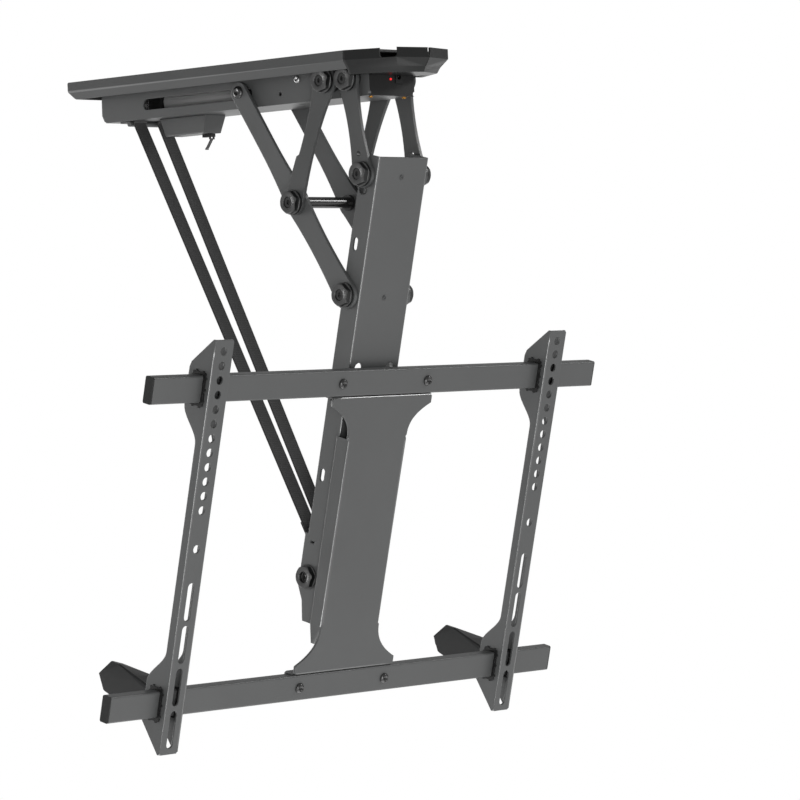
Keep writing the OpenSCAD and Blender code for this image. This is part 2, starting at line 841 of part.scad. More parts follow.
// Tube that joins the two main links at their middle pivots, with a collar at each end
module crossbar() color(black) at_pivot(pivot_mid) {
    collar_r = 8.5;
    collar_t = 4;
    tube = 6;
    end = inner_layer - run_gap;
    difference() {
        union() {
            rod_x(tube, -end, end);
            rod_x(collar_r, -end, -end + collar_t);
            rod_x(collar_r, end - collar_t, end);
        }
        rod_x(bore_r - run_gap * 2 - 1, -end - over, end + over);
    }
}

module link_pivot_bolts() color(black) {
    reach = outer_face + seat_gap + cap_h - inner_layer;
    both() at_pivot(pivot_mid, -outer_face - seat_gap - cap_h) difference() {
        union() {
            rod_x(head_r, cap_recess_h - head_h, cap_recess_h);
            rod_x(bolt_r, cap_recess_h - head_h, reach);
            rod_x(bore_r - run_gap * 3 - 1, reach - over, reach + 12);
        }
        translate([cap_recess_h - head_h - over, 0, 0]) rotate([0, 90, 0])
            cylinder(h = socket_h + over, r = socket_flats / 2 / cos(180 / hex_sides), $fn = hex_sides);
    }
}

module link_pivot_caps() color(plastic) both()
    at_pivot(pivot_mid, -outer_face - seat_gap - cap_h) pivot_cap();

slider_head_h = 3;
slider_head_r = 6.6;

module slider_pins() color(black) both()
    at_pivot(pivot_slide, -inner_layer - link_t - slider_head_h - run_gap)
        pan_screw_x(slider_head_r, slider_head_h, slider_r,
            inner_layer + link_t - yoke_arm_in + run_gap * 10);

slider_spacer_r = 8.5;
module slider_spacers() color(black) both() at_pivot(pivot_slide) difference() {
    rod_x(slider_spacer_r, -inner_layer + run_gap, -channel_half - seat_gap);
    rod_x(slider_r + run_gap, -inner_layer - over, -channel_half + over);
}

module rear_rocker_sheet() {
    waist_half_w = 9.2;
    hole_r = 2.8;
    hole_share = 0.785;
    a = -inner_layer - link_t;
    b = -inner_layer;
    difference() {
        union() {
            plate_x(a, b) strip_2d(pivot_rear, pivot_head, rear_end_r, waist_half_w, rear_end_r);
            disc_x(pivot_rear, rear_end_r, a, b);
            disc_x(pivot_head, rear_end_r, a, b);
        }
        for (p = [pivot_rear, pivot_head]) disc_x(p, bore_r, a - over, b + over);
        disc_x(pivot_rear + (pivot_head - pivot_rear) * hole_share, hole_r, a - over, b + over);
    }
}

module rear_rocker_left() color(coat) rear_rocker_sheet();
module rear_rocker_right() color(coat) mirror([1, 0, 0]) rear_rocker_sheet();

// The rear bolts run in a slot in the column, long enough for the whole fold
rear_stub_r = 3;
rear_stub_gap = 2;
module rear_pivot_bolts() color(black) {
    plate_in = inner_layer;
    reach = inner_layer + link_t + seat_gap + cap_h - plate_in;
    tip = 11;
    both() at_pivot(pivot_head, -inner_layer - link_t - seat_gap - cap_h) difference() {
        union() {
            rod_x(head_r, cap_recess_h - head_h, cap_recess_h);
            rod_x(bolt_r, cap_recess_h - head_h, reach + seat_gap);
            rod_x(rear_stub_r, reach, reach + tip);
        }
        translate([cap_recess_h - head_h - over, 0, 0]) rotate([0, 90, 0])
            cylinder(h = socket_h + over, r = socket_flats / 2 / cos(180 / hex_sides), $fn = hex_sides);
    }
}

module rear_pivot_caps() color(plastic) both()
    at_pivot(pivot_head, -inner_layer - link_t - seat_gap - cap_h) pivot_cap();

// U-shaped column: a front web with two side flanges that deepen at the foot
module column_profile() {
    bend_r = 2;
    in = column_half - column_wall;
    difference() {
        union() {
            translate([-column_half, bend_r]) square([column_w, flange_d - bend_r]);
            translate([-column_half + bend_r, 0]) square([column_w - 2 * bend_r, bend_r + over]);
            for (s = [-1, 1]) translate([s * (column_half - bend_r), bend_r]) circle(bend_r, $fn = smooth);
        }
        translate([-in, column_wall]) square([2 * in, flange_d]);
    }
}

// Cut through both flanges of the column, drawn along the column
module flange_cut(v, w) {
    at_screen(0, v, w) rotate([0, 90, 0]) linear_extrude(column_w + 2 * over, center = true) children();
}

module column_channel() color(coat) screen_frame() {
    in = column_half - column_wall;
    head_rise = 2.6;
    foot_deep = 94;
    foot_taper = 36;
    foot_step = 22;
    foot_half_d = 21;
    foot_end_d = 16;
    light_slot_len = 14;
    light_slot_w = 6.4;
    light_slot = [light_slot_len, light_slot_w];
    light_high_v = 93;
    light_low_v = 342.5;
    light_slot_vs = [light_high_v, light_low_v];
    rear_slot_len = 27;
    rear_slot_w = 12.5;
    rear_slot = [rear_slot_len, rear_slot_w];
    web_hole_r = 6;
    web_hole_v = rail_top_v + web_hole_r / 2;
    lock_slot_w = 4;
    lock_slot_len = 7.5;
    lock_slot = [lock_slot_w, lock_slot_len];
    lock_slot_v = rail_top_v + rail_h + web_hole_r * 2;
    clip_slot_w = 2.4;
    clip_slot_len = 6.5;
    clip_slot = [clip_slot_w, clip_slot_len];
    clip_slot_v = strap_shaft_v - strap_w * 2;
    edge_w = -flange_d + lock_slot[1];
    difference() {
        union() {
            translate([0, 0, -column_len]) linear_extrude(column_len + head_rise) column_profile();
            for (s = [-1, 1]) translate([s < 0 ? -column_half : in, flange_d - over, -column_len])
                cube([column_wall, foot_flange_d - flange_d + over, foot_deep]);
        }
        for (v = light_slot_vs) flange_cut(v, -column_axis) slot_2d(light_slot[0], light_slot[1]);
        flange_cut(column_head + rear_slot[0] / 2 - rear_stub_r - rear_stub_gap, -column_axis)
            slot_2d(rear_slot[0], rear_slot[1]);
        flange_cut(lock_slot_v, edge_w) rotate([0, 0, 90]) slot_2d(lock_slot[1], lock_slot[0]);
        flange_cut(clip_slot_v, edge_w) square(clip_slot, center = true);
        plate_x(-column_w, column_w) polygon([
            [foot_flange_d + over, -column_len + foot_taper], [foot_flange_d, -column_len + foot_taper],
            [foot_half_d, -column_len + foot_step], [foot_end_d, -column_len],
            [foot_end_d, -column_len - over], [foot_flange_d + over, -column_len - over]
        ]);
        at_screen(0, low_v, -column_axis) rod_x(bore_r, -column_w, column_w);
        at_screen(0, strap_shaft_v, -column_axis) rod_x(shaft_r + run_gap, -column_w, column_w);
        for (s = [-1, 1]) at_screen(s * standoff_dx, web_hole_v, 0) rotate([90, 0, 0])
            cylinder(h = column_wall * 4, r = web_hole_r, center = true, $fn = smooth);
        for (v = [column_head, low_v]) at_screen(0, v, 0) rotate([90, 0, 0])
            cylinder(h = column_wall * 4, r = web_screw_r + run_gap, center = true, $fn = smooth);
    }
}
web_screw_r = 1.9;

module column_pivot_bolts() color(black) {
    cap_at = inner_layer + link_t + seat_gap + cap_h;
    reach = cap_at - column_half + column_wall + nut_h + seat_gap / 3;
    both() at_pivot(pivot_low, -cap_at) pivot_bolt(reach);
}

module column_pivot_caps() color(plastic) both()
    at_pivot(pivot_low, -inner_layer - link_t - seat_gap - cap_h) pivot_cap();

module column_washers() color(steel) both() at_pivot(pivot_low)
    spacer_x(-inner_layer + seat_gap, -column_half - run_gap, 11);

module strap_shaft() color(black) screen_frame() at_screen(0, strap_shaft_v, -column_axis)
    difference() {
        rod_x(shaft_r, -column_half - seat_gap - cap_skirt_h, column_half + seat_gap + cap_skirt_h);
        for (s = [-1, 1]) translate([s * (column_half + seat_gap + cap_skirt_h), 0, 0]) rotate([0, 90, 0])
            cylinder(h = 4, r = socket_flats / 2 / cos(180 / hex_sides), center = true, $fn = hex_sides);
    }

module strap_shaft_caps() color(plastic) both() screen_frame()
    at_screen(-column_half - seat_gap - cap_hex_h - 1, strap_shaft_v, -column_axis) intersection() {
        pivot_cap();
        rod_x(cap_skirt_r + over, -over, cap_hex_h + 1);
    }

module web_screws() color(black) screen_frame() for (v = [column_head, low_v])
    at_screen(0, v, 0) rotate([0, 0, 90]) translate([-1, 0, 0])
        pan_screw_x(web_screw_r * 1.5, 1, web_screw_r, column_wall + 2);

// Half width of the screen plate: wide at both ends, narrow at the waist, with curved shoulders
flare_top = 44;
flare_foot = 48;
shoulder_h = 10;
function plate_half(s) = waist_half + (plate_end_half - waist_half) * pow(1 - s, 2.6);

module plate_outline(steps = 14) {
    top = -plate_top_v + sheet_t;
    foot = -plate_foot_v - sheet_t;
    head = top - shoulder_h;
    base = foot + shoulder_h;
    run_top = flare_top + sheet_t - shoulder_h;
    run_foot = flare_foot + sheet_t - shoulder_h;
    right = concat(
        [for (i = [0:steps]) [plate_half(i / steps), head - run_top * i / steps]],
        [for (i = [steps:-1:0]) [plate_half(i / steps), base + run_foot * i / steps]]
    );
    left = [for (i = [len(right) - 1:-1:0]) [-right[i][0], right[i][1]]];
    polygon(concat([[plate_end_half, top]], right, [[plate_end_half, foot], [-plate_end_half, foot]],
        left, [[-plate_end_half, top]]));
}

// Places a shape at each of the four rail screws
module at_rail_screws(w) {
    for (v = [rail_top_v, rail_low_v], s = [-1, 1])
        at_screen(s * rail_screw_dx / 2, v + rail_h / 2, w) children();
}

module tv_plate() color(coat) screen_frame() {
    waist_top = plate_top_v + flare_top;
    waist_foot = plate_foot_v - flare_foot;
    tail = 20;
    tail_lean = 5;
    side_back = 2.5;
    tab_h = 25;
    hole_r = rail_screw_r + run_gap * 2;
    difference() {
        union() {
            translate([0, -plate_face, 0]) rotate([90, 0, 0]) mirror([0, 0, 1])
                linear_extrude(sheet_t) plate_outline();
            for (s = [-1, 1])
                plate_x(s < 0 ? -waist_half : waist_half - sheet_t,
                    s < 0 ? -waist_half + sheet_t : waist_half) polygon([
                    [-plate_face, -waist_top], [-side_back, -waist_top], [-side_back, -waist_foot],
                    [-side_back - tail_lean, -waist_foot - tail], [-plate_face, -waist_foot - tail]
                ]);
            for (v = [plate_top_v, plate_foot_v + sheet_t])
                span([-plate_end_half, -plate_face, -v],
                    [plate_end_half, -tab_front + sheet_t, -v + sheet_t]);
            for (v = [plate_top_v, plate_foot_v + tab_h])
                span([-plate_end_half, -tab_front, -v],
                    [plate_end_half, -tab_front + sheet_t, -v + tab_h]);
        }
        at_rail_screws(rail_gap) rotate([90, 0, 0])
            cylinder(h = sheet_t * 4, r = hole_r, center = true, $fn = smooth);
    }
}

standoff_dx = 24;
standoff_r = 7;
standoff_from_rail = 80;
module plate_standoffs() color(coat_dark) screen_frame() {
    standoff_vs = [
        rail_top_v + rail_h + standoff_from_rail - standoff_r, rail_low_v - standoff_from_rail
    ];
    for (s = [-1, 1]) {
        for (v = standoff_vs) at_screen(s * standoff_dx, v, 0) rotate([90, 0, 0])
            translate([0, 0, run_gap])
                cylinder(h = plate_face - sheet_t - 2 * run_gap, r = standoff_r, $fn = smooth);
    }
}

rail_corner_r = 2;
rail_inner_r = 0.5;
module rail_2d() {
    difference() {
        round_rect(rail_d, rail_h, rail_corner_r);
        round_rect(rail_d - 2 * rail_wall, rail_h - 2 * rail_wall, rail_inner_r);
    }
}

module rail(v) color(coat) screen_frame() difference() {
    at_screen(-rail_len / 2, v + rail_h / 2, rail_gap + rail_d / 2) rotate([90, 0, 90])
        linear_extrude(rail_len) rail_2d();
    for (s = [-1, 1]) at_screen(s * rail_screw_dx / 2, v + rail_h / 2, rail_gap)
        rotate([90, 0, 0])
            cylinder(h = rail_d * 3, r = rail_screw_r + run_gap, center = true, $fn = smooth);
}
rail_screw_r = 2.5;

module top_rail() rail(rail_top_v);
module bottom_rail() rail(rail_low_v);

module rail_plugs() color(plastic) screen_frame() for (v = [rail_top_v, rail_low_v], s = [-1, 1]) {
    deep = 10;
    lip = 1.2;
    slack = 2 * rail_wall + seat_gap;
    translate([s * (rail_len / 2 + run_gap), 0, 0]) mirror([s < 0 ? 1 : 0, 0, 0]) {
        at_screen(0, v + rail_h / 2, rail_gap + rail_d / 2) rotate([90, 0, 90])
            linear_extrude(lip) round_rect(rail_d, rail_h, rail_corner_r);
        at_screen(-deep, v + rail_h / 2, rail_gap + rail_d / 2) rotate([90, 0, 90])
            linear_extrude(deep + lip / 2)
                round_rect(rail_d - slack, rail_h - slack, rail_inner_r);
    }
}

module rail_screws() color(black) screen_frame()
    at_rail_screws(rail_front + rail_head_h + run_gap) rotate([0, 0, 90])
        pan_screw_x(rail_head_r, rail_head_h, rail_screw_r, rail_d + sheet_t * 2 - run_gap * 10);
rail_head_r = 5.6;
rail_head_h = 3;

// Back edge of the bracket flanges: deep at the rails, shallow between them
function ease(s) = s * s * (3 - 2 * s);
function bracket_edge() = let(
    top = bracket_top_v,
    foot = bracket_top_v + bracket_len,
    margin = 6,
    deep_top = rail_top_v + rail_h + margin,
    deep_foot = rail_low_v - margin,
    blend = 36,
    chamfer = 30,
    corner = 8,
    tip_w = bracket_front - bracket_wall - margin / 6,
    slope = (tip_w - lobe_w) / chamfer,
    steps = 10
) concat(
    [
        [top, tip_w], [top + chamfer - corner, lobe_w + slope * corner],
        [top + chamfer - corner / 4, lobe_w + corner / 4], [top + chamfer + corner / 2, lobe_w]
    ],
    [for (i = [0:steps])
        [deep_top + blend * i / steps, lobe_w + (narrow_w - lobe_w) * ease(i / steps)]],
    [for (i = [0:steps])
        [deep_foot - blend * (1 - i / steps), narrow_w + (lobe_w - narrow_w) * ease(i / steps)]],
    [[foot - chamfer, lobe_w], [foot, tip_w]]
);

module bracket(s) color(coat) screen_frame() {
    slot_end = 6.4;
    foot = bracket_top_v + bracket_len;
    slot_last = foot - slot_end - screen_slot_len / 2;
    single_share = 13.7;
    cut_slack = liner_t + seat_gap;
    profile = [for (p = bracket_edge()) [-p[1], -p[0]]];
    full = concat([[-bracket_front, -bracket_top_v]], profile, [[-bracket_front, -foot]]);
    translate([s * bracket_u, 0, 0]) difference() {
        union() {
            span([-bracket_half, -bracket_front, -foot],
                [bracket_half, -bracket_front + bracket_wall, -bracket_top_v]);
            plate_x(-bracket_half, -bracket_half + bracket_wall) polygon(full);
            plate_x(bracket_half - bracket_wall, bracket_half) polygon(full);
        }
        for (v = [rail_top_v, rail_low_v]) span(
            [-bracket_w, -rail_front - cut_slack, -v - rail_h - cut_slack],
            [bracket_w, -rail_gap + cut_slack, -v + cut_slack]);
        for (i = [0:hole_count - 1])
            screen_cut(first_hole_v + i * hole_pitch) circle(screen_hole_d / 2, $fn = smooth);
        screen_cut(first_hole_v + single_share * hole_pitch) circle(screen_hole_d / 2, $fn = smooth);
        for (i = [0:screen_slot_count - 1]) screen_cut(slot_last - i * screen_slot_pitch)
            rotate([0, 0, 90]) slot_2d(screen_slot_len, screen_hole_d);
        for (q = [-1, 1]) at_screen(q * bracket_half, arm_pin_v, arm_pin_w)
            rod_x(arm_pin_r + run_gap, -bracket_wall * 2, bracket_wall * 2, smooth);
    }
}
arm_pin_v = rail_low_v + rail_h + 5.3;
arm_pin_w = 1;
arm_pin_r = 1.5;

module screen_cut(v) {
    at_screen(0, v, bracket_front) rotate([90, 0, 0])
        linear_extrude(bracket_wall * 4, center = true) children();
}

module bracket_left() bracket(-1);
module bracket_right() bracket(1);

// Black plastic liners in the four openings that the rails pass through, with snap teeth
module liners(s) color(black) screen_frame() translate([s * bracket_u, 0, 0]) {
    flange = 1.4;
    lip = 1.2;
    tooth = 1.6;
    tooth_w = 4;
    w_mid = rail_gap + rail_d / 2;
    play = 0.35;
    bore = rail_corner_r - play;
    outer_d = rail_d + 2 * (liner_t + flange);
    outer_h = rail_h + 2 * (liner_t + flange);
    teeth = [[outer_d / 2, 0], [outer_d / 2, outer_h / 3], [outer_d / 4, outer_h / 2]];
    for (v = [rail_top_v, rail_low_v], q = [-1, 1]) mirror([q < 0 ? 1 : 0, 0, 0]) {
        at_screen(bracket_half - bracket_wall - lip, v + rail_h / 2, w_mid) rotate([90, 0, 90])
            linear_extrude(bracket_wall + lip * 2 + run_gap) difference() {
                round_rect(rail_d + 2 * liner_t, rail_h + 2 * liner_t, liner_t / 2);
                round_rect(rail_d + 2 * play, rail_h + 2 * play, bore);
            }
        at_screen(bracket_half + run_gap, v + rail_h / 2, w_mid) rotate([90, 0, 90])
            linear_extrude(lip) difference() {
                union() {
                    round_rect(outer_d, outer_h, liner_t);
                    for (t = teeth, m = [0, 1], n = [0, 1]) mirror([m, 0, 0]) mirror([0, n, 0])
                        translate(t) circle(tooth, $fn = smooth);
                }
                round_rect(rail_d + 2 * play, rail_h + 2 * play, bore);
            }
        for (m = [-1, 1])
            at_screen(bracket_half + lip, v + rail_h / 2 - m * outer_h / 6,
                rail_front + liner_t + flange / 2) rotate([90, 0, 90])
                linear_extrude(lip) square([flange, tooth_w], center = true);
    }
}

module liners_left() liners(-1);
module liners_right() liners(1);

// Wedge-shaped bumper arm behind the foot of each bracket, with a rubber roller at its end
pad_drop = 9.5;
pad_v = rail_low_v + pad_drop;
pad_w = -66;
pad_r = 9.5;
pad_axle_r = 2;
arm_top = 10.5;
arm_head = 6.5;
arm_low = 23.5;
arm_root = 37.5;
arm_crown_w = -46;
arm_nose_w = -59;
arm_tip_w = -75;
arm_side_gap = 1;

// Arm in profile, as distances below the lower rail's top edge and out from the column
function arm_profile() = let(root_w = lobe_w - seat_gap) [
    [-arm_side_gap, root_w], [-arm_top, arm_crown_w], [-arm_top - seat_gap, arm_nose_w],
    [arm_head, arm_tip_w], [arm_low, pad_w], [arm_root, root_w]
];

module bumper_arm(s) color(plastic) screen_frame() translate([s * bracket_u, 0, 0]) {
    half = bracket_half - arm_side_gap;
    tongue = bracket_half - bracket_wall - seat_gap;
    cheek = 3;
    root_w = lobe_w - seat_gap;
    tongue_in = 7.5;
    tongue_w = 5;
    top_lean = 6;
    foot_lean = 3;
    high = rail_low_v - arm_top;
    crease = rail_low_v + pad_drop / 2;
    low = rail_low_v + arm_root;
    difference() {
        union() {
            intersection() {
                plate_x(-half, half)
                    polygon([for (p = arm_profile()) [-p[1], -rail_low_v - p[0]]]);
                rotate([90, 0, 0]) translate([0, 0, arm_tip_w - over])
                    linear_extrude(-arm_tip_w + 2 * over) polygon([
                        [-half, -high + over], [half, -high - top_lean], [half, -crease],
                        [half - foot_lean, -low], [-half + foot_lean, -low], [-half, -crease]
                    ]);
            }
            plate_x(-tongue, tongue) polygon([for (p = [
                [arm_root - tongue_in, root_w - over], [arm_root - tongue_in + over, tongue_w],
                [arm_root, tongue_w], [arm_root, root_w - over]
            ]) [-p[1], -rail_low_v - p[0]]]);
            at_screen(0, arm_pin_v, arm_pin_w) rod_x(arm_pin_r, -bracket_half, bracket_half, smooth);
        }
        at_screen(0, pad_v, pad_w) rod_x(pad_r + over, -half + cheek, half - cheek);
        span([-half + cheek, -pad_w, -pad_v - pad_r - over],
            [half - cheek, -pad_w + pad_r * 2, -pad_v + pad_r + over]);
        at_screen(0, pad_v, pad_w)
            rod_x(pad_axle_r + run_gap, -half + foot_lean / 2, half - foot_lean / 2, smooth);
    }
}

module bumper_arm_left() bumper_arm(-1);
module bumper_arm_right() bumper_arm(1);

module bumper_pad(s) color(black) screen_frame() at_screen(s * bracket_u, pad_v, pad_w) {
    half = bracket_half - arm_side_gap;
    pad_inset = 3.4;
    axle_inset = 1.6;
    rod_x(pad_r, -half + pad_inset, half - pad_inset);
    rod_x(pad_axle_r, -half + axle_inset, half - axle_inset, smooth);
}

module bumper_pad_left() bumper_pad(-1);
module bumper_pad_right() bumper_pad(1);

// Flat straps from the rolled lip to the shaft at the foot of the column, closer together below
module strap(s) color(web) {
    shaft_at = column_origin + strap_shaft_v * down_dir - column_axis * out_dir;
    bar_at = [strap_top_y - strap_lip, -channel_drop - seat_gap / 3 - strap_bar_r];
    run = shaft_at - bar_at;
    dir = run / norm(run);
    side = [-dir[1], dir[0]];
    near = strap_bar_r + seat_gap;
    low = shaft_r + seat_gap;
    a = bar_at - side * near;
    b = shaft_at - side * low;
    x_top = s * strap_pitch / 2;
    slope = s * (strap_pitch - strap_foot_pitch) / 2 / (a[1] - b[1]);
    multmatrix([[1, 0, slope, x_top - slope * a[1]], [0, 1, 0, 0], [0, 0, 1, 0]])
        plate_x(-strap_w / 2, strap_w / 2) polygon([a, b, b - side * strap_t, a - side * strap_t]);
}

module strap_left() strap(-1);
module strap_right() strap(1);

ceiling_plate();
base_channel();
base_cover();
front_end_cap();
channel_screws();
panel_screws();
actuator_motor();
actuator_gearbox();
actuator_tube();
actuator_rod();
drive_yoke();
control_box();
control_board();
limit_switch();
switch_lever();
dc_jack();
status_led();
strap_anchor();
base_pivot_bolts();
base_pivot_caps();
base_spacers();
front_rocker_left();
front_rocker_right();
main_link_left();
main_link_right();
crossbar();
link_pivot_bolts();
link_pivot_caps();
slider_pins();
slider_spacers();
rear_rocker_left();
rear_rocker_right();
rear_pivot_bolts();
rear_pivot_caps();
column_channel();
column_pivot_bolts();
column_pivot_caps();
column_washers();
strap_shaft();
strap_shaft_caps();
web_screws();
tv_plate();
plate_standoffs();
top_rail();
bottom_rail();
rail_plugs();
rail_screws();
bracket_left();
bracket_right();
liners_left();
liners_right();
bumper_arm_left();
bumper_arm_right();
bumper_pad_left();
bumper_pad_right();
strap_left();
strap_right();
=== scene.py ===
import json
import math

import bmesh
import bpy
from mathutils import Matrix, Vector


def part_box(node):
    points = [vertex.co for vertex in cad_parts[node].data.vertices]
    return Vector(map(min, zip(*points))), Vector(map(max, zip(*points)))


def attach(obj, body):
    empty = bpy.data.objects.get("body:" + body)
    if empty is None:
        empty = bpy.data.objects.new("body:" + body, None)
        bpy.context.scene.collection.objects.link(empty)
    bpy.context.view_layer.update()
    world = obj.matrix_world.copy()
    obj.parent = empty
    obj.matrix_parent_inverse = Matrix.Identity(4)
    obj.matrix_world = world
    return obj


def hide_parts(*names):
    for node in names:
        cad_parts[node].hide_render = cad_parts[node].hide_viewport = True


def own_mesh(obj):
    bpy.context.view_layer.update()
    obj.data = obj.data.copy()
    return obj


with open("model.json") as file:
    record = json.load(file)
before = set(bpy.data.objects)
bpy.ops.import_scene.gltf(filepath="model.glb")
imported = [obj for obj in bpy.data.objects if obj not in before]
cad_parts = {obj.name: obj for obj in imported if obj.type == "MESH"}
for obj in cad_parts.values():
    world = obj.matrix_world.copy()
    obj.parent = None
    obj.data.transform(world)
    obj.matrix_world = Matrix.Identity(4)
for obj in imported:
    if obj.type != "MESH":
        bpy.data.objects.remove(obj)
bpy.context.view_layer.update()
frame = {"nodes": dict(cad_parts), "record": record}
scene = bpy.context.scene
scene.view_settings.view_transform = "Standard"

MM = 0.001

# Camera at the photograph's viewing angle
IMAGE_W = 800
SENSOR_W = 36
FOCAL_PX = 3957.155
CAMERA_AT = (-3.04827, -3.01919, -0.34310)
YAW = math.radians(47.072)
PITCH = math.radians(-0.316)
ROLL = math.radians(-2.263)
CLIP_END = 50


def camera():
    level = math.cos(PITCH)
    forward = Vector((math.sin(YAW) * level, math.cos(YAW) * level, math.sin(PITCH)))
    right = Vector((math.cos(YAW), -math.sin(YAW), 0))
    up = right.cross(forward)
    c, s = math.cos(ROLL), math.sin(ROLL)
    right, up = c * right + s * up, -s * right + c * up
    data = bpy.data.cameras.new("view")
    data.sensor_width = SENSOR_W
    data.lens = FOCAL_PX / IMAGE_W * SENSOR_W
    data.clip_end = CLIP_END
    ob = bpy.data.objects.new("view", data)
    rows = [(right[i], up[i], -forward[i], CAMERA_AT[i]) for i in range(3)]
    ob.matrix_world = Matrix((*rows, (0, 0, 0, 1)))
    scene.collection.objects.link(ob)
    scene.camera = ob


camera()


# Node helpers
def new_material(name):
    m = bpy.data.materials.new(name)
    m.use_nodes = True
    nt = m.node_tree
    return m, nt, nt.nodes["Principled BSDF"]


def node(nt, kind, **settings):
    n = nt.nodes.new(kind)
    for key, value in settings.items():
        setattr(n, key, value)
    return n


def fill_in(n, values):
    """Set a node's own sockets, by name or number."""
    for key, value in values.items():
        n.inputs[key].default_value = value


def math_node(nt, operation, a, b):
    """Math node. Its inputs are sockets or plain numbers."""
    n = node(nt, "ShaderNodeMath", operation=operation)
    for i, value in enumerate((a, b)):
        if hasattr(value, "links"):
            nt.links.new(value, n.inputs[i])
        else:
            n.inputs[i].default_value = value
    return n.outputs[0]


def mix_shaders(nt, fac, a, b):
    n = node(nt, "ShaderNodeMixShader")
    for i, value in enumerate((fac, a, b)):
        nt.links.new(value, n.inputs[i])
    return n.outputs[0]


def coords(nt):
    return node(nt, "ShaderNodeTexCoord").outputs["Object"]


def noise(nt, vector, scale, detail=2.0, rough=0.5):
    n = node(nt, "ShaderNodeTexNoise")
    fill_in(n, {"Scale": scale, "Detail": detail, "Roughness": rough})
    nt.links.new(vector, n.inputs["Vector"])
    return n.outputs["Fac"]


def remap(nt, value, source=(0.3, 0.7), result=(0, 1)):
    n = node(nt, "ShaderNodeMapRange")
    for i, end in enumerate((*source, *result), 1):
        n.inputs[i].default_value = end
    nt.links.new(value, n.inputs[0])
    return n.outputs[0]


def mix_colour(nt, fac, a, b):
    n = node(nt, "ShaderNodeMix", data_type="RGBA")
    nt.links.new(fac, n.inputs[0])
    for i, value in ((6, a), (7, b)):
        if hasattr(value, "links"):
            nt.links.new(value, n.inputs[i])
        else:
            n.inputs[i].default_value = (*value, 1)
    return n.outputs[2]


def bump(nt, bsdf, height, strength, distance, normal=None):
    n = node(nt, "ShaderNodeBump")
    fill_in(n, {"Strength": strength, "Distance": distance})
    nt.links.new(height, n.inputs["Height"])
    if normal:
        nt.links.new(normal, n.inputs["Normal"])
    nt.links.new(n.outputs["Normal"], bsdf.inputs["Normal"])


def soft_edge(nt, radius):
    """Normal that reads every small edge as slightly broken, as coating and moulding leave it."""
    n = node(nt, "ShaderNodeBevel", samples=6)
    n.inputs["Radius"].default_value = radius
    return n.outputs["Normal"]


def linear(rgb):
    return tuple(c / 12.92 if c <= 0.04045 else ((c + 0.055) / 1.055) ** 2.4 for c in rgb)


def grey(v, tint=(0, 0, 0)):
    return linear(tuple((v + t) / 255 for t in tint))


def cool(v):
    """Grey with a trace of blue-green, as the coat and the black plastic have."""
    return grey(v, (0, 1, 1))


def shade(colour, k):
    return tuple(min(1, c * k) for c in colour)


def blotched(nt, pattern, colour, dark, pale, source=(0.3, 0.7)):
    """Colour that a noise pattern varies between two of its own shades."""
    return mix_colour(nt, remap(nt, pattern, source), shade(colour, dark), shade(colour, pale))


# Finishes. A clear coat is given as weight, roughness and refractive index.
THIN_CLEAR = (0.12, 0.22, 1.5)
TIGHT_CLEAR = (1.0, 0.17, 1.8)
COAT_GRAIN = 1100


def powder_coat(name, colour, rough=(0.38, 0.48), clear=THIN_CLEAR):
    m, nt, bsdf = new_material(name)
    v = coords(nt)
    broad = noise(nt, v, 14, 3)
    fine = noise(nt, v, COAT_GRAIN, 2)
    speck = noise(nt, v, COAT_GRAIN * 2.3, 1)
    tone = blotched(nt, broad, colour, 0.93, 1.07)
    tone = mix_colour(nt, remap(nt, speck, (0.55, 0.8), (0, 0.35)), tone, shade(colour, 1.35))
    nt.links.new(tone, bsdf.inputs["Base Color"])
    nt.links.new(remap(nt, broad, result=rough), bsdf.inputs["Roughness"])
    weight, coat_rough, ior = clear
    fill_in(bsdf, {"Specular IOR Level": 0.5, "Coat Weight": weight,
                   "Coat Roughness": coat_rough, "Coat IOR": ior})
    bump(nt, bsdf, fine, strength=0.06, distance=0.2 * MM, normal=soft_edge(nt, 1.0 * MM))
    return m


def moulded(name, colour, rough, depth=0.25):
    m, nt, bsdf = new_material(name)
    v = coords(nt)
    broad = noise(nt, v, 22, 2)
    fine = noise(nt, v, 1700, 3, 0.65)
    tone = blotched(nt, broad, colour, 0.9, 1.1, (0.35, 0.65))
    nt.links.new(tone, bsdf.inputs["Base Color"])
    nt.links.new(remap(nt, fine, result=rough), bsdf.inputs["Roughness"])
    bsdf.inputs["Specular IOR Level"].default_value = 0.4
    bump(nt, bsdf, fine, strength=depth, distance=0.15 * MM, normal=soft_edge(nt, 0.4 * MM))
    return m


def rubber(name, colour):
    m, nt, bsdf = new_material(name)
    v = coords(nt)
    fine = noise(nt, v, 900, 4, 0.7)
    dust = noise(nt, v, 60, 4)
    tone = mix_colour(nt, remap(nt, dust, (0.45, 0.75), (0, 0.5)), colour, shade(colour, 1.8))
    nt.links.new(tone, bsdf.inputs["Base Color"])
    nt.links.new(remap(nt, dust, result=(0.62, 0.8)), bsdf.inputs["Roughness"])
    bump(nt, bsdf, fine, strength=0.3, distance=0.2 * MM)
    return m


def plated(name, colour, rough=(0.22, 0.38), metallic=1.0):
    m, nt, bsdf = new_material(name)
    v = coords(nt)
    broad = noise(nt, v, 120, 3)
    fine = noise(nt, v, 1400, 2)
    nt.links.new(blotched(nt, broad, colour, 0.88, 1.08), bsdf.inputs["Base Color"])
    nt.links.new(remap(nt, broad, result=rough), bsdf.inputs["Roughness"])
    bsdf.inputs["Metallic"].default_value = metallic
    bump(nt, bsdf, fine, strength=0.06, distance=0.1 * MM)
    return m


# Pitch of the weave in millimetres, across the strap and along it
RIB_PITCH = 1.6
PICK_PITCH = 2.2


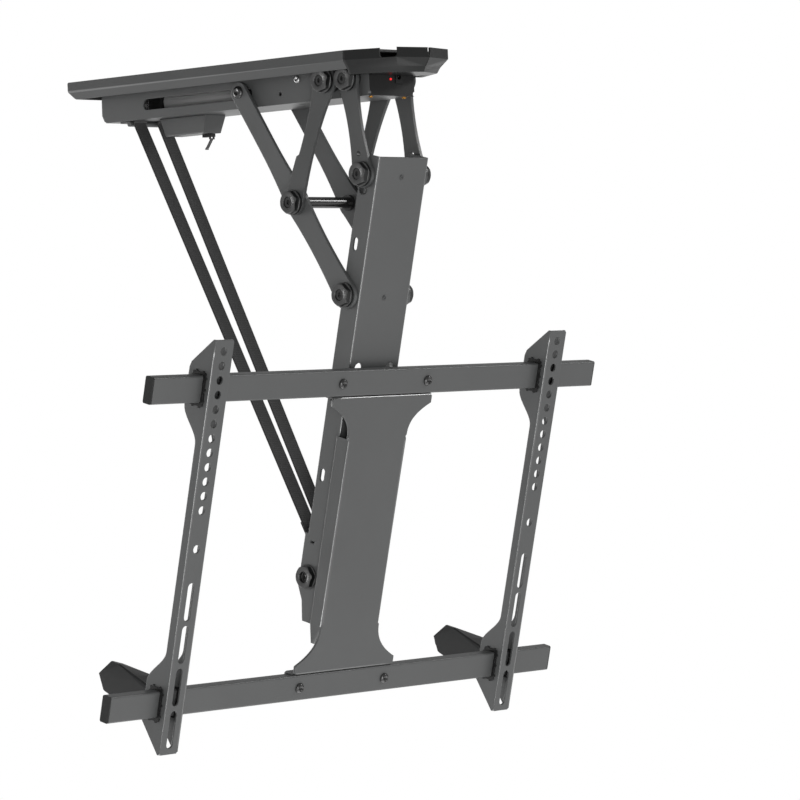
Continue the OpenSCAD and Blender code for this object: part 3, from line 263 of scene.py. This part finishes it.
def webbing(name, colour):
    """Ribs along the strap, crossed by picks that step from rib to rib."""
    m, nt, bsdf = new_material(name)
    uv = node(nt, "ShaderNodeUVMap")
    split = node(nt, "ShaderNodeSeparateXYZ")
    nt.links.new(uv.outputs["UV"], split.inputs[0])

    def ridge(value, pitch, shift=None):
        phase = math_node(nt, "MULTIPLY", value, 2 * math.pi / pitch)
        if shift:
            phase = math_node(nt, "ADD", phase, shift)
        return math_node(nt, "SINE", phase, 0)

    ribs = ridge(split.outputs[0], RIB_PITCH)
    picks = ridge(split.outputs[1], PICK_PITCH, math_node(nt, "MULTIPLY", ribs, 1.5))
    height = remap(nt, math_node(nt, "ADD", ribs, picks), (-2, 2))
    fuzz = noise(nt, coords(nt), 700, 3)
    # The weave's colour follows its height: painted shade in its hollows, painted light on its
    # ridges.
    tone = mix_colour(nt, height, shade(colour, 0.55), shade(colour, 1.25))
    tone = mix_colour(nt, remap(nt, fuzz, (0.4, 0.7), (0, 0.4)), tone, shade(colour, 1.6))
    nt.links.new(tone, bsdf.inputs["Base Color"])
    fill_in(bsdf, {"Roughness": 0.78, "Sheen Weight": 0.25, "Sheen Roughness": 0.5})
    bump(nt, bsdf, height, strength=0.6, distance=0.4 * MM)
    return m


def board(name):
    """Green circuit board with a fine grid of pale tracks."""
    m, nt, bsdf = new_material(name)
    v = coords(nt)
    brick = node(nt, "ShaderNodeTexBrick")
    fill_in(brick, {
        "Scale": 160, "Color1": (*grey(40, (-20, 30, 0)), 1),
        "Color2": (*grey(46, (-20, 44, 4)), 1), "Mortar": (*grey(120, (0, 40, -20)), 1),
    })
    nt.links.new(v, brick.inputs["Vector"])
    nt.links.new(brick.outputs["Color"], bsdf.inputs["Base Color"])
    nt.links.new(remap(nt, noise(nt, v, 300), result=(0.3, 0.45)), bsdf.inputs["Roughness"])
    return m


def lens(name):
    m, nt, bsdf = new_material(name)
    pattern = remap(nt, noise(nt, coords(nt), 500))
    tone = mix_colour(nt, pattern, (0.75, 0.01, 0.02), (0.9, 0.03, 0.03))
    nt.links.new(tone, bsdf.inputs["Base Color"])
    nt.links.new(tone, bsdf.inputs["Emission Color"])
    fill_in(bsdf, {"Emission Strength": 0.9, "Roughness": 0.15})
    return m


finishes = {
    "powder_coat": powder_coat("powder_coat", cool(84)),
    "powder_coat_dark": powder_coat("powder_coat_dark", cool(62)),
    # Painted shade: a darker copy of the coat for the cover and the rockers. Painted light: a
    # paler copy for the tube in its slot.
    "base_coat_painted_shade": powder_coat("base_coat_painted_shade", cool(70)),
    "tube_coat_painted_light": powder_coat("tube_coat_painted_light", grey(172)),
    "black_plastic": moulded("black_plastic", cool(19), rough=(0.26, 0.36)),
    "nylon_black": moulded("nylon_black", grey(22), rough=(0.24, 0.34), depth=0.08),
    # Painted light: a paler copy of the caps' plastic for their faces that look along X.
    "cap_face_painted_light": moulded("cap_face_painted_light", grey(72), rough=(0.3, 0.4), depth=0.08),
    # Painted shade: near-black for the channel's front panel, under the end cap.
    "panel_painted_shade": moulded("panel_painted_shade", grey(18), rough=(0.45, 0.55)),
    "rubber": rubber("rubber", grey(30)),
    "thread": rubber("thread", grey(50)),
    "webbing": webbing("webbing", grey(34)),
    "black_metal": plated("black_metal", grey(78), rough=(0.16, 0.24), metallic=0.8),
    "steel": plated("steel", grey(180)),
    "brass_plate": plated("brass_plate", linear((0.62, 0.44, 0.2))),
    "red_lens": lens("red_lens"),
    "circuit_board": board("circuit_board"),
}
# The coat is drawn thin and glossy over a bend
bends = {
    "powder_coat": powder_coat("coat_bend", cool(66), rough=(0.3, 0.38), clear=TIGHT_CLEAR),
    # Painted highlight: the black plastic is paler over a bend, and glossier there.
    "black_plastic": moulded("plastic_bend_painted_highlight", cool(30), rough=(0.2, 0.26), depth=0.08),
}
slot_of = {s["node"]: s["material_slot"] for s in frame["record"]["subparts"]}
body_of = {n: b for b, members in frame["record"]["behaviour"]["bodies"].items() for n in members}


def dress(ob, slot, bent=False):
    ob.data.materials.clear()
    ob.data.materials.append(finishes[slot])
    if bent:
        ob.data.materials.append(bends[slot])


def add_finish(mesh, name):
    """Append a finish to the mesh, and give its index."""
    mesh.materials.append(finishes[name])
    return len(mesh.materials) - 1


def new_piece(name, bm):
    """Object made from a bmesh, which is freed."""
    mesh = bpy.data.meshes.new(name)
    bm.to_mesh(mesh)
    bm.free()
    ob = bpy.data.objects.new(name, mesh)
    scene.collection.objects.link(ob)
    return ob


# Each rigid node gets a copy on the same body, with its long bends rounded.
# A bend runs at least FOLD_LEN between two flats at least FOLD_FACE wide.
FOLD_LEN = 40 * MM
FOLD_FACE = 4.5 * MM
FOLD_ANGLE = math.radians(35)
FOLD_SEGMENTS = 4
# A facet of a bend is at least BEND_LEN long and at most BEND_STRIP wide
BEND_LEN = 15 * MM
BEND_STRIP = 1.4 * MM
BEND_INDEX = 1
SHARP_ANGLE = math.radians(24)
SAME_PLANE = 0.9999
SAME_LINE = 0.99995
CORNER_ANGLE = 0.5
LINE_LIMIT = 1.0
MERGE_DIST = 2e-6
NORMAL_WEIGHT = 80


def flat_area(face, limit=math.inf):
    """Area of the whole flat that this face is part of. It stops adding once past the limit."""
    seen, queue, area = {face}, [face], 0.0
    while queue and area <= limit:
        f = queue.pop()
        area += f.calc_area()
        for e in f.edges:
            for g in e.link_faces:
                if g not in seen and g.normal.dot(face.normal) > SAME_PLANE:
                    seen.add(g)
                    queue.append(g)
    return area


def straight_length(edge):
    """Length of the whole straight line that this edge is a stretch of."""
    total = edge.calc_length()
    for start in edge.verts:
        vert, last = start, edge
        going = True
        while going:
            going = False
            along = (last.verts[0].co - last.verts[1].co).normalized()
            for e in vert.link_edges:
                if e is last or len(e.link_faces) != 2 or e.calc_face_angle(0) < CORNER_ANGLE:
                    continue
                if abs((e.verts[0].co - e.verts[1].co).normalized().dot(along)) > SAME_LINE:
                    total += e.calc_length()
                    vert, last = e.other_vert(vert), e
                    going = total < LINE_LIMIT
                    break
    return total


def is_fold(edge):
    """True where the real sheet is bent: a long convex edge between two wide flats."""
    if len(edge.link_faces) != 2 or edge.calc_face_angle_signed(0) <= FOLD_ANGLE:
        return False
    length = straight_length(edge)
    return length > FOLD_LEN and all(flat_area(f) / length >= FOLD_FACE for f in edge.link_faces)


def is_bend_facet(face):
    """True if the flat that this face is part of is one narrow facet of a bend."""
    longest = max(e.calc_length() for e in face.edges)
    widest = longest * BEND_STRIP
    return longest >= BEND_LEN and flat_area(face, widest) <= widest


def settle_normals(ob):
    """Weighted normals keep broad faces flat between their rounded bends."""
    normals = ob.modifiers.new("normals", "WEIGHTED_NORMAL")
    normals.keep_sharp = True
    normals.weight = NORMAL_WEIGHT
    bpy.context.view_layer.update()
    graph = bpy.context.evaluated_depsgraph_get()
    final = bpy.data.meshes.new_from_object(ob.evaluated_get(graph))
    final.name = ob.data.name + "_mesh"
    ob.modifiers.clear()
    ob.data = final


def finish_node(name, fold):
    """Copy of a node with its bends rounded by fold, in metres, and its finish on."""
    mesh = frame["nodes"][name].data.copy()
    mesh.name = name + "_finished"
    bm = bmesh.new()
    bm.from_mesh(mesh)
    bmesh.ops.remove_doubles(bm, verts=bm.verts, dist=MERGE_DIST)
    if fold:
        edges = [e for e in bm.edges if is_fold(e)]
        if edges:
            bmesh.ops.bevel(bm, geom=edges, offset=fold, offset_type="OFFSET",
                            segments=FOLD_SEGMENTS, profile=0.5, affect="EDGES",
                            clamp_overlap=False)
        for f in bm.faces:
            if is_bend_facet(f):
                f.material_index = BEND_INDEX
    for f in bm.faces:
        f.smooth = True
    ob = bpy.data.objects.new(name + "_finished", mesh)
    scene.collection.objects.link(ob)
    dress(ob, slot_of[name], bent=fold > 0)
    bm.to_mesh(mesh)
    bm.free()
    mesh.set_sharp_from_angle(angle=SHARP_ANGLE)
    settle_normals(ob)
    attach(ob, body_of[name])
    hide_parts(name)
    return ob


FOLDS = {
    "base_channel": 1.8 * MM, "base_cover": 1.4 * MM, "front_end_cap": 1.4 * MM,
    "control_box": 1.2 * MM, "column_channel": 2.4 * MM, "tv_plate": 2.4 * MM,
    "bracket_left": 1.8 * MM, "bracket_right": 1.8 * MM,
    "bumper_arm_left": 1.5 * MM, "bumper_arm_right": 1.5 * MM,
}
STRAPS = {"strap_left": -1, "strap_right": 1}
finished = {}
for name in sorted(frame["nodes"]):
    if name not in STRAPS:
        finished[name] = finish_node(name, FOLDS.get(name, 0.0))


# Least share of a face's normal that points out of its panel or cap
FACES_FRONT = 0.9
FACES_SIDE = 0.45
PANEL_DEPTH = 1 * MM


def paint_coat_light_and_shade():
    """Painted light and shade in the coat: the tube in its slot is painted paler, as painted
    light, and the cover and the coated rockers darker, as painted shade.
    """
    finished["actuator_tube"].data.materials[0] = finishes["tube_coat_painted_light"]
    for name, ob in finished.items():
        rocker = "rocker" in name and slot_of[name] == "powder_coat"
        if rocker or name == "base_cover":
            ob.data.materials[0] = finishes["base_coat_painted_shade"]


def paint_panel_shade():
    """The channel's small front panel, round the socket and the light, is painted near-black as
    painted shade under the end cap's nose.
    """
    mesh = finished["base_channel"].data
    front = min(v.co.y for v in mesh.vertices)
    black = add_finish(mesh, "panel_painted_shade")
    for f in mesh.polygons:
        if f.normal.y < -FACES_FRONT and abs(f.center.y - front) < PANEL_DEPTH:
            f.material_index = black


def paint_light_on_caps():
    """The caps' faces that look along X are painted paler than their skirts, as painted light."""
    for name, ob in finished.items():
        if not name.endswith("_caps"):
            continue
        pale = add_finish(ob.data, "cap_face_painted_light")
        for f in ob.data.polygons:
            if abs(f.normal.x) > FACES_SIDE:
                f.material_index = pale


paint_coat_light_and_shade()
paint_panel_shade()
paint_light_on_caps()


def middle(name):
    low, high = (Vector(c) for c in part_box(name))
    return (low + high) / 2


# Stiffener plates inside the column's head, behind the long slots of the rear rockers' studs.
# Their outline is drawn round a stud, down the column and out to its front.
STUD = middle("rear_pivot_bolts")
LEAN = math.radians(14.3)
DOWN = Vector((0, math.sin(LEAN), -math.cos(LEAN)))
OUT = Vector((0, -math.cos(LEAN), -math.sin(LEAN)))
STIFF_INNER = 26.2 * MM
STIFF_T = 1.2 * MM
STIFF_EDGE = 0.25 * MM
STIFF_CORNER = 3 * MM
STIFF_TOP = -13 * MM
STIFF_FOOT = 25 * MM
STIFF_BACK = -9.5 * MM
STIFF_FRONT = 14.4 * MM


def rounded_outline(corners, radius, steps=5):
    """Corners of a convex outline, each replaced by a small arc of points."""
    points = []
    count = len(corners)
    for i, corner in enumerate(corners):
        a = Vector(corners[i - 1]) - Vector(corner)
        b = Vector(corners[(i + 1) % count]) - Vector(corner)
        a, b = a.normalized(), b.normalized()
        centre = Vector(corner) + (a + b) * radius
        start = math.atan2(-b.y, -b.x)
        sweep = (math.atan2(-a.y, -a.x) - start + math.pi) % (2 * math.pi) - math.pi
        for k in range(steps, -1, -1):
            angle = start + sweep * k / steps
            points.append(centre + Vector((math.cos(angle), math.sin(angle))) * radius)
    return points


def stiffener(label, side):
    outline = rounded_outline([(STIFF_TOP, STIFF_FRONT), (STIFF_FOOT, STIFF_FRONT),
                               (STIFF_FOOT, STIFF_BACK), (STIFF_TOP, STIFF_BACK)], STIFF_CORNER)
    mid = sum(outline, Vector((0, 0))) / len(outline)
    outer = STIFF_INNER + STIFF_T
    bm = bmesh.new()
    rings = []
    for x, shrink in ((STIFF_INNER, STIFF_EDGE), (STIFF_INNER + STIFF_EDGE, 0),
                      (outer - STIFF_EDGE, 0), (outer, STIFF_EDGE)):
        ring = []
        for point in outline:
            v, w = point - (point - mid).normalized() * shrink
            place = Vector((side * x, STUD.y, STUD.z)) + DOWN * v + OUT * w
            ring.append(bm.verts.new(place))
        rings.append(ring)
    count = len(outline)
    for a, b in zip(rings, rings[1:]):
        for i in range(count):
            n = (i + 1) % count
            bm.faces.new((a[i], a[n], b[n], b[i]))
    bm.faces.new(rings[0])
    bm.faces.new(rings[-1])
    bmesh.ops.recalc_face_normals(bm, faces=bm.faces)
    ob = new_piece("column_stiffener_" + label, bm)
    dress(ob, "powder_coat")
    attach(ob, body_of["column_channel"])


stiffener("left", -1)
stiffener("right", 1)


# The straps run from the bar of their anchor to the shaft, both taken from the frame
shaft = middle("strap_shaft")
anchor_low = Vector(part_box("strap_anchor")[0])
BAR_R = 3 * MM
SHAFT_R = 5 * MM
bar = Vector((0, anchor_low.y + BAR_R, anchor_low.z + BAR_R))
STRAP_W = 19 * MM
STRAP_T = 1.7 * MM
STRAP_GAP = 0.35 * MM
TOP_X = 18.25 * MM
FOOT_X = 10 * MM
# Where a strap lies inside the channel before it turns over the bar, in millimetres from the bar
LEAD_POINTS = [(-17, 6.6), (-11, 6.4), (-7.4, 4.6), (-5.6, 1.6)]
RUN_STEPS = 26
LOOP_STEPS = 12
# The end that comes back up from the shaft: the share of it that closes up on the run,
# and how far apart the middles of the sewn layers lie, in thicknesses
TAIL_LEN = 62 * MM
TAIL_STEPS = 14
TAIL_CLOSING = 0.45
TAIL_LAP = 1.02
# Woven edge: a raised selvedge, then a slightly thinner middle, as shares of the thickness
SELVEDGE_AT = 0.5 * MM
SELVEDGE_END = 1.2 * MM
SELVEDGE_HALF = 0.5
MIDDLE_HALF = 0.42


def yz(y, z):
    return Vector((0, y, z))


def arc(centre, radius, start, sweep, steps):
    """Points round a centre in the Y-Z plane, angles from +Y towards +Z."""
    angles = [start + sweep * i / steps for i in range(steps + 1)]
    return [centre + yz(math.cos(a), math.sin(a)) * radius for a in angles]


# Direction of the run from bar to shaft, and the side of it that faces the front
run = (shaft - bar).normalized()
facing = yz(run.z, -run.y)
LOOP_R = SHAFT_R + STRAP_GAP + STRAP_T / 2
run_start = bar + facing * (BAR_R + STRAP_GAP + STRAP_T / 2)
run_end = shaft + facing * LOOP_R


def strap_path():
    """Centre line of a strap: out of the channel, down the run, round the shaft and back up."""
    lead = [bar + yz(y * MM, z * MM) for y, z in LEAD_POINTS]
    front = [run_start.lerp(run_end, i / RUN_STEPS) for i in range(RUN_STEPS + 1)]
    loop = arc(shaft, LOOP_R, math.atan2(facing.z, facing.y), math.pi, LOOP_STEPS)[1:]
    back = []
    for i in range(1, TAIL_STEPS + 1):
        t = i / TAIL_STEPS
        k = min(1.0, t / TAIL_CLOSING)
        k = k * k * (3 - 2 * k)
        offset = (LOOP_R - STRAP_T * TAIL_LAP) * k - LOOP_R * (1 - k)
        back.append(shaft - run * TAIL_LEN * t + facing * offset)
    return lead + front + loop + back


def centre_x(point, side):
    """The straps draw together from the bar to the shaft."""
    length = run_end - run_start
    t = (point - run_start).dot(length) / length.length_squared
    t = min(1.0, max(0.0, t))
    return side * (TOP_X + (FOOT_X - TOP_X) * t)


def strap_section():
    """Outline across a strap: distance from its middle, and height as a share of its thickness."""
    half = STRAP_W / 2
    upper = [(-half + SELVEDGE_AT, SELVEDGE_HALF), (-half + SELVEDGE_END, MIDDLE_HALF),
             (0.0, MIDDLE_HALF),
             (half - SELVEDGE_END, MIDDLE_HALF), (half - SELVEDGE_AT, SELVEDGE_HALF)]
    lower = [(u, -w) for u, w in reversed(upper)]
    return [(-half, 0.0), *upper, (half, 0.0), *lower]


def strap(name, side):
    path = strap_path()
    section = strap_section()
    bm = bmesh.new()
    layer = bm.loops.layers.uv.new("weave")
    travel = [0.0]
    for a, b in zip(path, path[1:]):
        travel.append(travel[-1] + (b - a).length)
    rings = []
    for i, point in enumerate(path):
        ahead = (path[min(i + 1, len(path) - 1)] - path[max(i - 1, 0)]).normalized()
        normal = yz(ahead.z, -ahead.y)
        x = centre_x(point, side)
        rings.append([bm.verts.new(point + Vector((x + u, 0, 0)) + normal * w * STRAP_T)
                      for u, w in section])
    count = len(section)
    for i in range(len(rings) - 1):
        for k in range(count):
            n = (k + 1) % count
            face = bm.faces.new((rings[i][k], rings[i][n], rings[i + 1][n], rings[i + 1][k]))
            face.smooth = True
            us = (section[k][0], section[n][0], section[n][0], section[k][0])
            vs = (travel[i], travel[i], travel[i + 1], travel[i + 1])
            for loop, u, v in zip(face.loops, us, vs):
                loop[layer].uv = (u / MM, v / MM)
    bm.faces.new(rings[0])
    bm.faces.new(list(reversed(rings[-1])))
    bmesh.ops.recalc_face_normals(bm, faces=bm.faces)
    ob = new_piece(name + "_webbing", bm)
    dress(ob, "webbing")
    for piece in (ob, stitching(name, side)):
        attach(piece, "base")
        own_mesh(piece)
    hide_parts(name)


# Sewn box with a cross in it, measured up the strap from the shaft. The stitches sit this share
# of the strap's thickness above its middle.
SEAM_LOW = 30 * MM
SEAM_HIGH = 58 * MM
SEAM_INSET = 2.6 * MM
STITCH_PITCH = 2.7 * MM
STITCH_LEN = 1.9 * MM
STITCH_R = 0.32 * MM
STITCH_HEIGHT = 0.46


def stitching(name, side):
    """Box of thread stitches with a cross, where the strap is sewn back on itself."""
    half = STRAP_W / 2 - SEAM_INSET
    corners = [Vector((x, 0, z)) for x, z in
               ((-half, SEAM_LOW), (half, SEAM_LOW), (half, SEAM_HIGH), (-half, SEAM_HIGH))]
    lines = [(corners[i], corners[(i + 1) % 4]) for i in range(4)]
    lines += [(corners[0], corners[2]), (corners[1], corners[3])]
    scale = Matrix.Diagonal((STITCH_LEN / 2, STITCH_R, STITCH_R, 1))
    surface = run_end + facing * (STRAP_T * STITCH_HEIGHT)
    bm = bmesh.new()
    for a, b in lines:
        steps = max(2, int((b - a).length / STITCH_PITCH))
        along = (b - a).normalized()
        direction = Vector((along.x, 0, 0)) - run * along.z
        turn = direction.to_track_quat("X", "Z").to_matrix().to_4x4()
        for i in range(steps):
            mid = a.lerp(b, (i + 0.5) / steps)
            place = surface + Vector((side * FOOT_X + mid.x, 0, 0)) - run * mid.z
            bmesh.ops.create_icosphere(bm, subdivisions=1, radius=1,
                                       matrix=Matrix.Translation(place) @ turn @ scale)
    for f in bm.faces:
        f.smooth = True
    ob = new_piece(name + "_stitches", bm)
    dress(ob, "thread")
    return ob


for name, side in STRAPS.items():
    strap(name, side)


# Floor, world and lights
WORLD_BELOW = 0.5
WORLD_ABOVE = 0.36
FLOOR_Z = -3.6
FLOOR_HALF = 14
LIGHTS = (
    # name, place, aim, width, height or none for a disc, watts
    ("key", (-1.6, -1.85, -0.9), (0, -0.1, -0.5), 0.6, 1.9, 27),
    ("fill", (2.0, -1.5, 0.9), (0, -0.1, -0.35), 0.7, None, 13),
    ("back", (-0.8, 3.3, -0.4), (0, 0, -0.35), 1.6, None, 34),
    ("under", (0.2, -0.3, -1.9), (0, 0, 0), 1.6, None, 9),
)


def lay_floor():
    """Pale floor far below, plain white to the camera and in reflections."""
    bm = bmesh.new()
    bmesh.ops.create_grid(bm, x_segments=2, y_segments=2, size=FLOOR_HALF)
    floor = new_piece("floor", bm)
    floor.location = (0, 0, FLOOR_Z)
    m, nt, bsdf = new_material("floor_pale")
    pattern = remap(nt, noise(nt, coords(nt), 3, 3))
    tone = mix_colour(nt, pattern, (0.78, 0.78, 0.78), (0.82, 0.82, 0.82))
    nt.links.new(tone, bsdf.inputs["Base Color"])
    bsdf.inputs["Roughness"].default_value = 0.8
    glow = node(nt, "ShaderNodeEmission")
    glow.inputs["Strength"].default_value = 1
    path = node(nt, "ShaderNodeLightPath")
    seen = math_node(nt, "MAXIMUM", path.outputs["Is Camera Ray"], path.outputs["Is Glossy Ray"])
    out = nt.nodes["Material Output"]
    mixed = mix_shaders(nt, seen, bsdf.outputs[0], glow.outputs[0])
    nt.links.new(mixed, out.inputs["Surface"])
    floor.data.materials.append(m)


def light_world():
    """Soft light from all round, a little less from above, with a white background."""
    studio = bpy.data.worlds.new("studio")
    scene.world = studio
    studio.use_nodes = True
    wt = studio.node_tree
    wt.nodes.clear()
    sky = node(wt, "ShaderNodeTexCoord")
    height = node(wt, "ShaderNodeSeparateXYZ")
    wt.links.new(sky.outputs["Generated"], height.inputs[0])
    soft = node(wt, "ShaderNodeBackground")
    soft.inputs["Color"].default_value = (1, 1, 1, 1)
    strength = remap(wt, height.outputs[2], (-0.2, 0.5), (WORLD_BELOW, WORLD_ABOVE))
    wt.links.new(strength, soft.inputs["Strength"])
    white = node(wt, "ShaderNodeBackground")
    fill_in(white, {"Color": (1, 1, 1, 1), "Strength": 1})
    path = node(wt, "ShaderNodeLightPath")
    below = remap(wt, height.outputs[2], (-0.25, 0.02), (1, 0))
    shiny = math_node(wt, "MULTIPLY", path.outputs["Is Glossy Ray"], below)
    seen = math_node(wt, "MAXIMUM", path.outputs["Is Camera Ray"],
                     path.outputs["Is Transmission Ray"])
    either = math_node(wt, "MAXIMUM", seen, shiny)
    out = node(wt, "ShaderNodeOutputWorld")
    mixed = mix_shaders(wt, either, soft.outputs[0], white.outputs[0])
    wt.links.new(mixed, out.inputs["Surface"])


def area_light(name, place, aim, width, height, watts):
    data = bpy.data.lights.new(name, "AREA")
    data.shape = "RECTANGLE" if height else "DISK"
    data.size = width
    if height:
        data.size_y = height
    data.energy = watts
    ob = bpy.data.objects.new(name, data)
    ob.location = place
    ob.rotation_euler = (Vector(aim) - Vector(place)).to_track_quat("-Z", "Y").to_euler()
    scene.collection.objects.link(ob)


lay_floor()
light_world()
for light in LIGHTS:
    area_light(*light)
